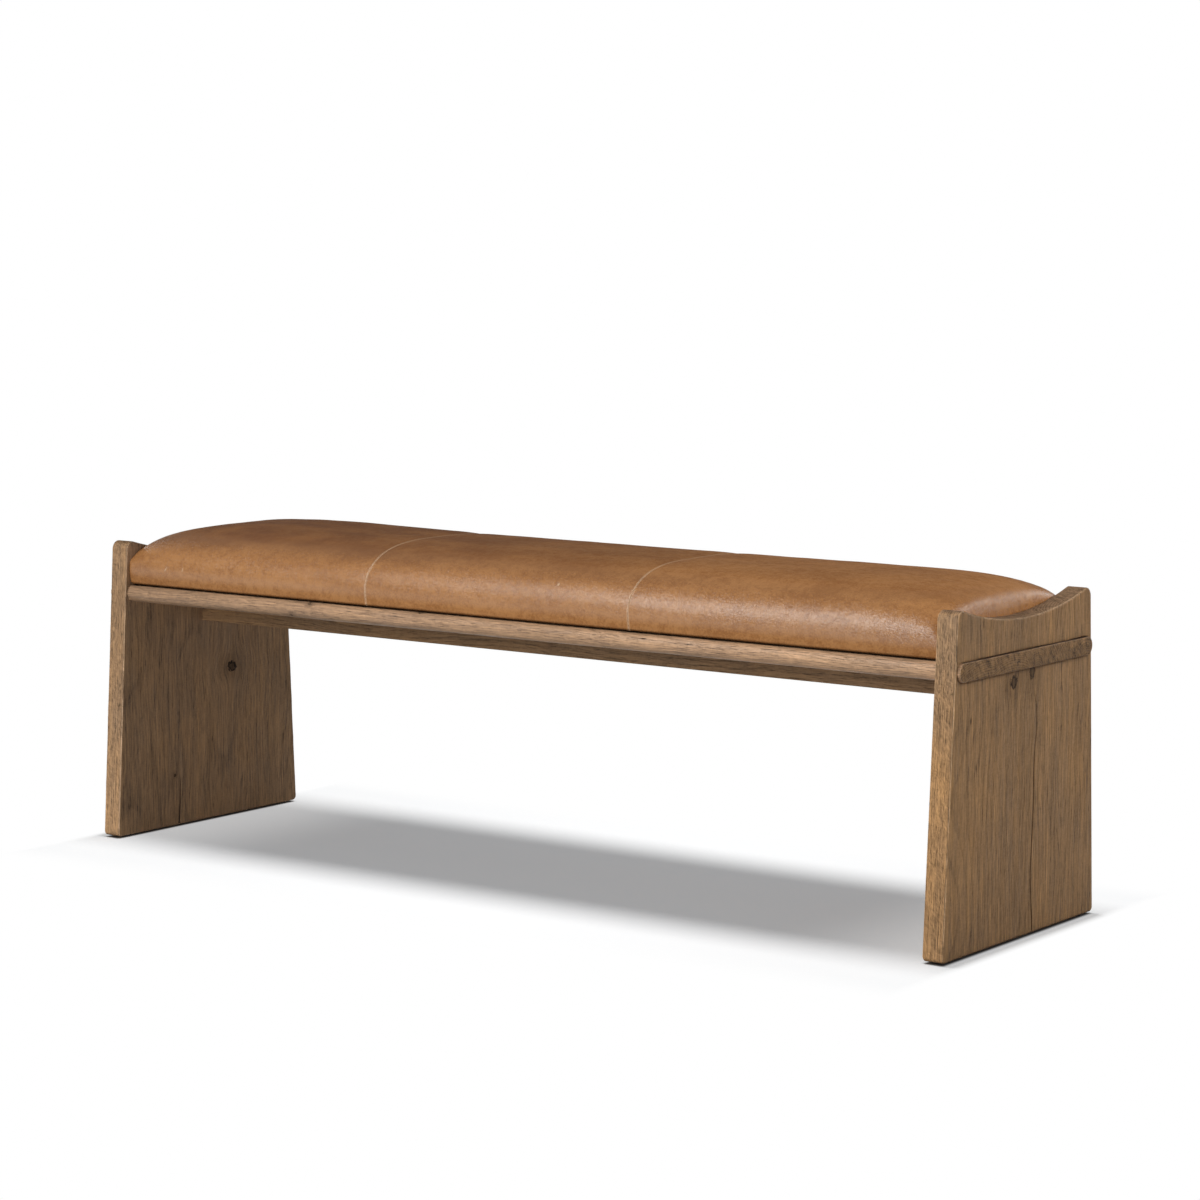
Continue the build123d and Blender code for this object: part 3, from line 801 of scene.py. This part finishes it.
def dressed_grid(stations):
    """The leather's outer face, with its swell, seams, puckers and soft waves, and its normals."""
    grid = np.array([section_at(x) for x in stations])
    normal = grid_normals(grid)
    run = run_along(grid[len(grid) // 2])
    waves = sum(high * noise_at(grid.reshape(-1, 3), size, seed) for high, size, seed in SOFT_WAVES)
    height = grid[..., 2] - PAD_BOTTOM
    off_foot = ramp(height - FOOT_START, FOOT_FADE)
    off_end = ramp(PAD_HALF_LENGTH - np.abs(grid[..., 0]), END_FADE)
    lift = (waves.reshape(height.shape) + swell_at(stations, run)) * off_foot * off_end
    lift -= corner_folds(grid)
    outside = np.abs(grid[..., 1]) > PAD_BELLY_DEPTH - FOOT_SETBACK - 3.0
    for index, seam in enumerate(SEAMS):
        far = np.abs(grid[..., 0] - seam)
        lift -= seam_depth(far)
        wander = np.array([wave_at(r / 30.0, index * 4.0, 1.0) for r in run])
        strength = np.array([0.55 + 0.9 * wave_at(r / 22.0, index * 4.0, 6.0) for r in run])
        wave = np.sin(2 * math.pi * run / PUCKER_PITCH + 4.0 * wander) * np.clip(strength, 0, 1)
        lift += PUCKER * wave[None, :] * np.exp(-far / 7.0) * ramp(far, 2.0) * off_foot
        lift += SEAM_FOOT * bell(height, 5.0) * bell(far, 4.5) * outside
    return grid + normal * lift[..., None], normal


def tube_faces(count, width, base=0, flip=False, ends=True):
    """Faces round a tube of rings of points, and over its two ends."""
    faces = []
    for start in range(base, base + (count - 1) * width, width):
        for j in range(width):
            a, b = start + j, start + (j + 1) % width
            faces.append((a, b, b + width, a + width) if flip else (a, a + width, b + width, b))
    if ends:
        first = range(base, base + width)
        last = range(base + (count - 1) * width, base + count * width)
        faces += [tuple(end) for end in ((first[::-1], last) if flip else (first, last[::-1]))]
    return faces


def shell_points(outer, inner):
    """Rings that run out along the outer rows of a grid and back along the inner ones."""
    return np.concatenate([outer, inner[:, ::-1]], axis=1)


def shell(name, grid, normal, thickness, material):
    """A closed shell from a grid of outer points."""
    rings = shell_points(grid, grid - normal * thickness)
    count, width = rings.shape[:2]
    faces = tube_faces(count, width, ends=False)
    for j in range(width // 2 - 1):
        end = (j, j + 1, width - 2 - j, width - 1 - j)
        faces += [end, tuple((count - 1) * width + k for k in reversed(end))]
    return make_object(name, rings.reshape(-1, 3), faces, material, SHELL_SMOOTH_ANGLE)


def with_end(grid, normal, side):
    """Adds rings that turn the leather in over the pad's end face."""
    edge = -1 if side > 0 else 0
    last = grid[edge]
    centre = np.array([last[0, 0], 0.0, (PAD_BOTTOM + last[:, 2].max()) / 2])
    rings = [centre + (last - centre) * share for share in (0.985, 0.95, 0.85, 0.65, 0.4, 0.12)]
    for ring in rings:
        ring[:, 0] = last[:, 0]
    out = np.tile(side * ALONG, (len(last), 1))
    blend = normal[edge] + out
    normal = normal.copy()
    normal[edge] = blend / np.linalg.norm(blend, axis=1, keepdims=True)
    normals = [out] * len(rings)
    if side > 0:
        return np.concatenate([grid, rings]), np.concatenate([normal, normals])
    return np.concatenate([rings[::-1], grid]), np.concatenate([normals, normal])


def leather_panel(name, node, low, high, material):
    """One sewn panel of the cover; an end panel also closes the pad's end."""
    low_seam, high_seam = low > -PAD_HALF_LENGTH + 1, high < PAD_HALF_LENGTH - 1
    grid, normal = dressed_grid(panel_stations(low, high, low_seam, high_seam))
    if not low_seam:
        grid, normal = with_end(grid, normal, -1)
    if not high_seam:
        grid, normal = with_end(grid, normal, 1)
    made = shell(name, grid, normal, LEATHER, material)
    far = np.min([np.abs(grid[..., 0] - seam) for seam in SEAMS], axis=0)
    rub_and_highlight = 0.6 * bell(far - PALE_LINE_PLACE, PALE_LINE_WIDTH)
    set_attribute(made, "rub_and_highlight", shell_points(rub_and_highlight, rub_and_highlight).ravel())
    stand_for(made, node)


# The pad's swell, from a cloth simulation

SIM_INSET = 1.5  # the pad swells, so it starts a little smaller
SWELL_CAP = 3.0
SWELL_SHARE = 0.4  # the leather is stiffer than the simulated cloth
SIM_STEPS = 20
SIM_STATIONS, SIM_ROWS = (42, 42, 43), 64
CLOTH = {"quality": 6, "mass": 0.4, "tension_stiffness": 25.0, "compression_stiffness": 25.0,
         "bending_stiffness": 1.5, "use_pressure": True, "uniform_pressure_force": 4.0,
         "vertex_group_mass": "held"}


def simulate_swell(material):
    """Blows the cover up as cloth that its seams, ends and turned-under edges hold, and
    keeps how far it lifts off the starting form."""
    edges = (-END_REACH + 2.0, *SEAMS, END_REACH - 2.0)
    parts = [np.linspace(*sizes) for sizes in zip(edges, edges[1:], SIM_STATIONS)]
    stations = np.concatenate([parts[0], parts[1][1:], parts[2][1:]])
    rows = np.unique(np.linspace(0, len(SECTION) - 1, SIM_ROWS).astype(int))
    grid = np.array([section_at(x, -SIM_INSET)[rows] for x in stations])
    points = grid.reshape(-1, 3)
    pad = make_object("swelling", points, tube_faces(*grid.shape[:2]), material)
    low = points[:, 2] < PAD_BOTTOM + 6.0
    at_seam = np.min([np.abs(points[:, 0] - seam) for seam in SEAMS], axis=0) < 0.5
    at_end = np.abs(points[:, 0]) > END_REACH - 14.0
    held = pad.vertex_groups.new(name="held")
    held.add(np.nonzero(low | at_end)[0].tolist(), 1.0, "REPLACE")
    held.add(np.nonzero(at_seam & ~low)[0].tolist(), 0.9, "REPLACE")
    cloth = pad.modifiers.new("cloth", "CLOTH")
    for key, value in CLOTH.items():
        setattr(cloth.settings, key, value)
    cloth.settings.effector_weights.gravity = 0.0
    cloth.collision_settings.use_collision = False
    scene = bpy.context.scene
    for step in range(1, SIM_STEPS + 1):
        scene.frame_set(step)
    final = pad.evaluated_get(bpy.context.evaluated_depsgraph_get()).to_mesh()
    moved = np.array([v.co for v in final.vertices]) / MM
    scene.frame_set(1)
    bpy.data.objects.remove(pad, do_unlink=True)
    lift = np.sum((moved - points).reshape(grid.shape) * grid_normals(grid), axis=-1)
    lift = np.clip(lift, -SWELL_CAP, SWELL_CAP)
    run = run_along(SECTION)
    swell.update(stations=stations, rows=run[rows] / run[-1], lift=SWELL_SHARE * (lift - lift.mean()))


# Stitches, tape, filling and dust cloth

STITCH, STITCH_GAP = 4.6, 0.9
THREAD_RADIUS = 0.36
THREAD_SIDES, THREAD_RINGS = 8, 7
THREAD_LIFT, THREAD_DIVE = 0.30, 0.35  # above the cover, and down again at a stitch's ends
TAPE_HALF_WIDTH = 10.0


def covered(stations, above, step):
    """The dressed grid's points and normals in every step-th row above this height."""
    rows = np.nonzero(SECTION[:, 1] > PAD_BOTTOM + above)[0][::step]
    return [part[:, rows] for part in dressed_grid(stations)]


def seam_stitches(name, node, seam, material):
    """The seam's thread as a row of stitches that follow the cover over its crown."""
    grid, normal = dressed_grid(np.array([seam - 0.05, seam + 0.05]))
    up = normal.mean(axis=0)
    line = grid.mean(axis=0) + up * THREAD_LIFT
    outside = np.nonzero(line[:, 2] > PAD_BOTTOM + 2.0)[0]
    line, up = line[outside], up[outside]
    run = run_along(line)
    turns = np.linspace(0, 2 * math.pi, THREAD_SIDES + 1)[:-1]
    points, faces = [], []
    start = 1.0
    while start + STITCH < run[-1]:
        faces += tube_faces(THREAD_RINGS, THREAD_SIDES, len(points), flip=True)
        for share in np.linspace(0, 1, THREAD_RINGS):
            at = start + STITCH * share
            centre, out = (np.array([np.interp(at, run, column) for column in part.T])
                           for part in (line, up))
            fullness = math.sqrt(max(0.0, 1 - (2 * share - 1) ** 4))
            centre = centre + out * THREAD_DIVE * (fullness - 1)
            radius = THREAD_RADIUS * max(0.25, fullness)
            points += [centre + radius * (math.cos(turn) * ALONG + math.sin(turn) * out)
                       for turn in turns]
        start += STITCH + STITCH_GAP
    stand_for(make_object(name, points, faces, material), node)


def seam_tape(name, node, seam, material):
    """The tape behind a seam, against the leather's inner face."""
    grid, normal = covered(seam + np.linspace(-TAPE_HALF_WIDTH, TAPE_HALF_WIDTH, 21), 2.0, 2)
    tape = shell(name, grid - normal * (LEATHER + TAPE_GAP), normal, TAPE, material)
    stand_for(tape, node)


def fillings(wadding_look, foam_look):
    """The wadding and the foam under the leather, in the same form drawn in."""
    near_end = np.array([700.0, 708.0, 714.0, 717.5])
    stations = np.concatenate([-near_end[::-1], np.arange(-690.0, 695.0, 10.0), near_end])
    grid, normal = covered(stations, 5.0, 3)
    lining = LEATHER + WADDING_GAP
    wadding = shell("wadding_layer", grid - normal * lining, normal, WADDING, wadding_look)
    stand_for(wadding, "pad_wadding")
    core = grid - normal * (lining + WADDING + FOAM_GAP)
    core[..., 2] = np.maximum(core[..., 2], ply_high[2] + 0.1)
    foam = make_object("foam_core", core.reshape(-1, 3), tube_faces(*core.shape[:2]), foam_look)
    stand_for(foam, "pad_foam")


def dust_cloth(material):
    """The thin cloth stretched under the pad's plywood."""
    across = np.linspace(dust_low[1], dust_high[1], 31)
    along = np.linspace(dust_low[0], dust_high[0], 141)
    grid = np.array([[(x, y, dust_high[2]) for y in across] for x in along])
    normal = np.zeros_like(grid)
    normal[..., 2] = 1.0
    cloth = shell("dust_cloth", grid, normal, dust_high[2] - dust_low[2], material)
    stand_for(cloth, "dust_cover")


# Camera, in metres and degrees, with its lens and sensor in millimetres

CAMERA_PLACE = (2.87203, -3.94704, 0.98173)
CAMERA_AZIMUTH, CAMERA_ELEVATION, CAMERA_ROLL = 35.570, 6.663, 0.304
CAMERA_LENS, CAMERA_SENSOR = 99.395, 36.0


def make_camera():
    camera = add_object("camera", bpy.data.cameras.new("camera"))
    placed = Matrix.Translation(CAMERA_PLACE)
    for angle, axis in ((CAMERA_AZIMUTH, "Z"), (90 - CAMERA_ELEVATION, "X"), (CAMERA_ROLL, "Z")):
        placed = placed @ Matrix.Rotation(math.radians(angle), 4, axis)
    camera.matrix_world = placed
    camera.data.lens = CAMERA_LENS
    camera.data.sensor_width = CAMERA_SENSOR
    bpy.context.scene.camera = camera


# World and floor. The camera sees plain white past the floor, and gloss sees it too.

WHITE = (1.0, 1.0, 1.0, 1.0)
AMBIENT = 0.12
BACKDROP_TOP = (0.0, 0.10)  # in gloss the backdrop ends between these heights of a unit direction
FLOOR_RADIUS = 9000.0
FLOOR_PAINT = (0.96, 0.96, 0.96, 1.0)
FLOOR_BOUNCE = (0.5, 0.5, 0.5, 1.0)  # the floor as the bench's light sees it
FLOOR_LIFT, LIFT_TINT = 0.274, (0.912, 0.957, 1.0, 1.0)  # light that the floor adds by itself
SHADOW_DEPTH = (300.0, 420.0)  # the shadow fades out between these distances from the middle
SHADOW_END = (758.0, 790.0)  # and between these, past the bench's ends
FADED = (450.0, 740.0, 0.0, 0.27)  # and is weaker towards the end panels


def ray_kinds(look):
    """Whether a ray is the camera's own, and whether it is seen in gloss or glass."""
    path = look.node("LightPath").outputs
    camera, glossy, clear = (Value(look, path["Is " + kind + " Ray"])
                             for kind in ("Camera", "Glossy", "Transmission"))
    return camera, most(glossy, clear)


def make_world():
    """Weak even light, and a white background that ends above the horizon where gloss sees it."""
    world = bpy.data.worlds.new("studio")
    bpy.context.scene.world = world
    world.use_nodes = True
    look = Look("studio", world.node_tree)
    up = look.split("XYZ", look.out("TexCoord", "Generated"))[2]
    camera, shown = ray_kinds(look)
    white = most(camera, shown * up.ease(BACKDROP_TOP[1], BACKDROP_TOP[0]))
    strength = white.remap(0.0, 1.0, AMBIENT, 1.0)
    look.end(look.out("Background", 0, Color=WHITE, Strength=strength), "World")


def make_floor():
    """A white floor that keeps the bench's shadow and fades to plain white away from it."""
    ring = [(FLOOR_RADIUS * math.cos(turn), FLOOR_RADIUS * math.sin(turn), 0.0)
            for turn in np.linspace(0, 2 * math.pi, 97)[:-1]]
    look = Look("floor_white")
    x, y, z = look.places()
    x, y = abs(x), abs(y)
    # No lift reaches the strips under the end panels
    foot_middle, foot_half = (panel_low[0] + panel_high[0]) / 2, (panel_high[0] - panel_low[0]) / 2
    under = abs(x - foot_middle).ease(foot_half - 4.0, foot_half + 4.0, 1.0, 0.0)
    beyond = 1.0 - under * y.ease(panel_high[1] - 6.0, panel_high[1] + 2.0, 1.0, 0.0)
    lift = look.out("Emission", 0, Color=LIFT_TINT, Strength=beyond * FLOOR_LIFT)
    paint = look.out("BsdfDiffuse", 0, Color=FLOOR_PAINT)
    floor_light = look.out("AddShader", 0, values=(paint, lift))
    plain = look.out("Emission", 0, Color=WHITE, Strength=1.0)
    fade = most(y.ease(*SHADOW_DEPTH), x.ease(*SHADOW_END), x.ease(*FADED) * beyond)
    seen = look.mix_shaders(fade, floor_light, plain)
    bounce = look.out("BsdfDiffuse", 0, Color=FLOOR_BOUNCE)
    above = look.mix_shaders(most(*ray_kinds(look)), bounce, seen)
    # The floor hides nothing from below
    clear = look.out("BsdfTransparent", 0)
    look.end(look.mix_shaders(look.out("NewGeometry", "Backfacing"), above, clear))
    floor = make_object("floor", ring, [tuple(range(len(ring)))], look.material)
    floor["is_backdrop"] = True
    return floor


# Lamps, in metres: name, place, target, size, level on a white surface that faces the lamp from
# its target, what it lights and other settings. The first draws the floor's shadow. The left
# panel, whose inner face is seen in shade, has lamps of its own.

BENCH, LEFT = (0.0, 0.0, 0.42), (-0.74, 0.0, 0.25)
LAMPS = (
    ("overhead", (0.0, 0.004, 3.0), (0.0, 0.004, 0.0), (0.96, 0.96), 0.70, "floor", ("shape", "ELLIPSE")),
    ("key", (-0.60, -1.54, 1.86), (0.0, -0.1, 0.42), (0.80, 1.50), 0.68, "bench"),
    ("second", (0.6, -2.9, 0.85), (0.2, 0.0, 0.40), (1.5, 0.9), 0.42, "bench"),
    ("side_fill", (1.9, 0.2, 1.9), (0.76, 0.0, 0.45), (0.9, 0.9), 0.44, "bench"),
    ("back_fill", (2.0, 4.0, 1.8), BENCH, (2.4, 1.4), 0.15, "bench"),
    ("left_fill", (-2.5, 0.4, 0.80), (-0.76, 0.0, 0.45), (0.9, 0.9), 0.24, "bench"),
    ("end_fill", (2.2, 0.3, 1.0), (0.70, 0.05, 0.45), (0.7, 0.7), 0.40, "pad_end"),
    ("left_key", (-1.1, -1.9, 1.5), LEFT, (1.0, 1.0), 0.85, "left_panel"),
    ("left_back", (-2.4, 3.2, 1.8), LEFT, (1.4, 1.4), 0.20, "left_panel"),
    ("left_inner", (1.2, -1.8, 0.30), LEFT, (0.8, 0.5), 0.16, "left_panel", ("color", (0.92, 0.97, 1.12))),
)


def make_lights(floor):
    lit = {name: bpy.data.collections.new("lit_" + name)
           for name in ("floor", "bench", "pad_end", "left_panel")}
    lit["floor"].objects.link(floor)
    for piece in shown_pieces():
        lit["left_panel" if piece.name == "worn_left_panel" else "bench"].objects.link(piece)
    lit["pad_end"].objects.link(bpy.data.objects["right_leather"])
    for name, place, target, size, level, receivers, *settings in LAMPS:
        data = bpy.data.lights.new(name, "AREA")
        data.shape = "RECTANGLE"
        data.size, data.size_y = size
        for key, value in settings:
            setattr(data, key, value)
        gap = Vector(target) - Vector(place)
        data.energy = level * math.pi ** 2 * gap.length_squared
        lamp = add_object(name, data)
        lamp.location = place
        lamp.rotation_mode = "QUATERNION"
        lamp.rotation_quaternion = gap.to_track_quat("-Z", "Y")
        lamp.light_linking.receiver_collection = lit[receivers]


# The bench

def set_look(material, *nodes):
    """Gives carried-over nodes their material."""
    for node in nodes:
        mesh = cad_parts[node].data
        mesh.materials.clear()
        mesh.materials.append(material)


def dress_wood():
    """Oak for the panels, the board, the rail and the dowels."""
    right = oak("oak_right_panel", "ZYX", 3.0, stave=118.0, stave_start=-207.0, pith=-640.0,
                warmth=0.72, grey_top=(290.0, 440.0, 0.0, 0.55), tone=1.12, end_tint=SIDE_OAK,
                knots=(((-33.0, 357.0), (9.5, 9.5), 0.95), ((17.5, 369.0), (8.0, 12.0), 0.85)),
                flecks=(((-149.0, 319.0), (1.6, 5.0), 1.0), ((-133.0, 254.0), (1.8, 6.5), 0.8),
                        ((-119.0, 447.0), (1.8, 9.0), 0.7)),
                side=(744.0, 748.0))
    # Painted light and shade on the left panel: lighter low down, darker towards its top
    left = oak("oak_left_panel", "ZYX", 11.0, stave=96.0, stave_start=-209.0, pith=690.0,
               warmth=0.36, shading=(40.0, 330.0, 1.20, 0.92), end_tint=TOP_OAK, narrow_figure=1.0,
               knots=(((54.5, 245.5), (10.5, 8.5), 1.0), ((-83.0, 84.0), (2.6, 3.2), 0.9)),
               flecks=(((90.0, 92.0), (1.4, 13.0), 0.6), ((20.0, 78.0), (1.2, 11.0), 0.4)),
               side=(-742.0, -738.0))
    board = oak("oak_board", "XYZ", 23.0, stave=94.0, stave_start=-188.0, pith=-330.0, ring=3.2,
                colours=(PALE_OAK, PINK_OAK), shading=(-720.0, 700.0, 0.74, 1.10), contrast=1.15,
                narrow_figure=0.15, end_dark=0.50, end_streaks=4.4, gloss=(0.45, 0.38, 0.55),
                knots=(((396.7, -357.0), (2.2, 3.0), 0.8), ((377.5, -391.0), (2.0, 3.0), 0.7),
                       ((399.0, -146.0), (1.6, 5.0), 0.9)),
                flecks=(((392.5, 257.5), (0.9, 6.0), 1.0),), side=(-172.0, -178.0), on_edge=True)
    # Painted shade on the rail under the board: darker throughout, a little less at its left end
    rail = oak("oak_rail", "XZY", 37.0, stave=60.0, stave_start=320.0, pith=60.0, warmth=0.3,
               shading=(-700.0, -400.0, 0.88, 0.74))
    dowel = oak("oak_dowel", "XYZ", 41.0, stave=30.0, pith=15.0)
    worn_panel("right_end_panel", "worn_right_panel", right, panel_high[0], RIGHT_CRACK)
    worn_panel("left_end_panel", "worn_left_panel", left, -panel_low[0], LEFT_CRACK)
    worn_board(board)
    set_look(rail, "centre_rail")
    set_look(dowel, "rail_dowels")


def dress_hardware():
    set_look(metal_look("zinc_steel", from_srgb(196, 196, 192), 0.32),
             "rail_screws", "pad_bolts", "pad_bolt_washers", "pad_tee_nuts", "glide_nails")
    set_look(metal_look("staple_wire", from_srgb(205, 203, 196), 0.28), "cover_staples")
    set_look(plastic_look("dark_glide", from_srgb(38, 34, 31)),
             "front_left_glide", "front_right_glide", "back_left_glide", "back_right_glide")
    set_look(plywood_look(), "pad_base")


def dress_pad():
    hide = leather()
    simulate_swell(hide)
    edges = (-PAD_HALF_LENGTH, *SEAMS, PAD_HALF_LENGTH)
    for side, low, high in zip(("left", "middle", "right"), edges, edges[1:]):
        leather_panel(side + "_leather", "cover_" + side + "_panel", low, high, hide)
    thread = thread_look("tan_thread", from_srgb(216, 184, 148))
    tape = cloth_look("cotton_tape", from_srgb(222, 214, 198), from_srgb(196, 186, 168), 1.2)
    for side, seam in zip(SIDES, SEAMS):
        seam_stitches(side + "_stitches", side + "_seam_thread", seam, thread)
        seam_tape(side + "_tape", side + "_seam_tape", seam, tape)
    fillings(cell_look("white_wadding", from_srgb(240, 240, 236), from_srgb(216, 216, 212), 4.0),
             cell_look("yellow_foam", from_srgb(232, 214, 160), from_srgb(206, 186, 130), 1.2))
    dust_cloth(cloth_look("black_cloth", from_srgb(38, 38, 40), from_srgb(24, 24, 26), 1.0))


def main():
    make_camera()
    make_world()
    bpy.context.scene.view_settings.view_transform = "Standard"
    dress_wood()
    dress_hardware()
    dress_pad()
    make_lights(make_floor())


main()
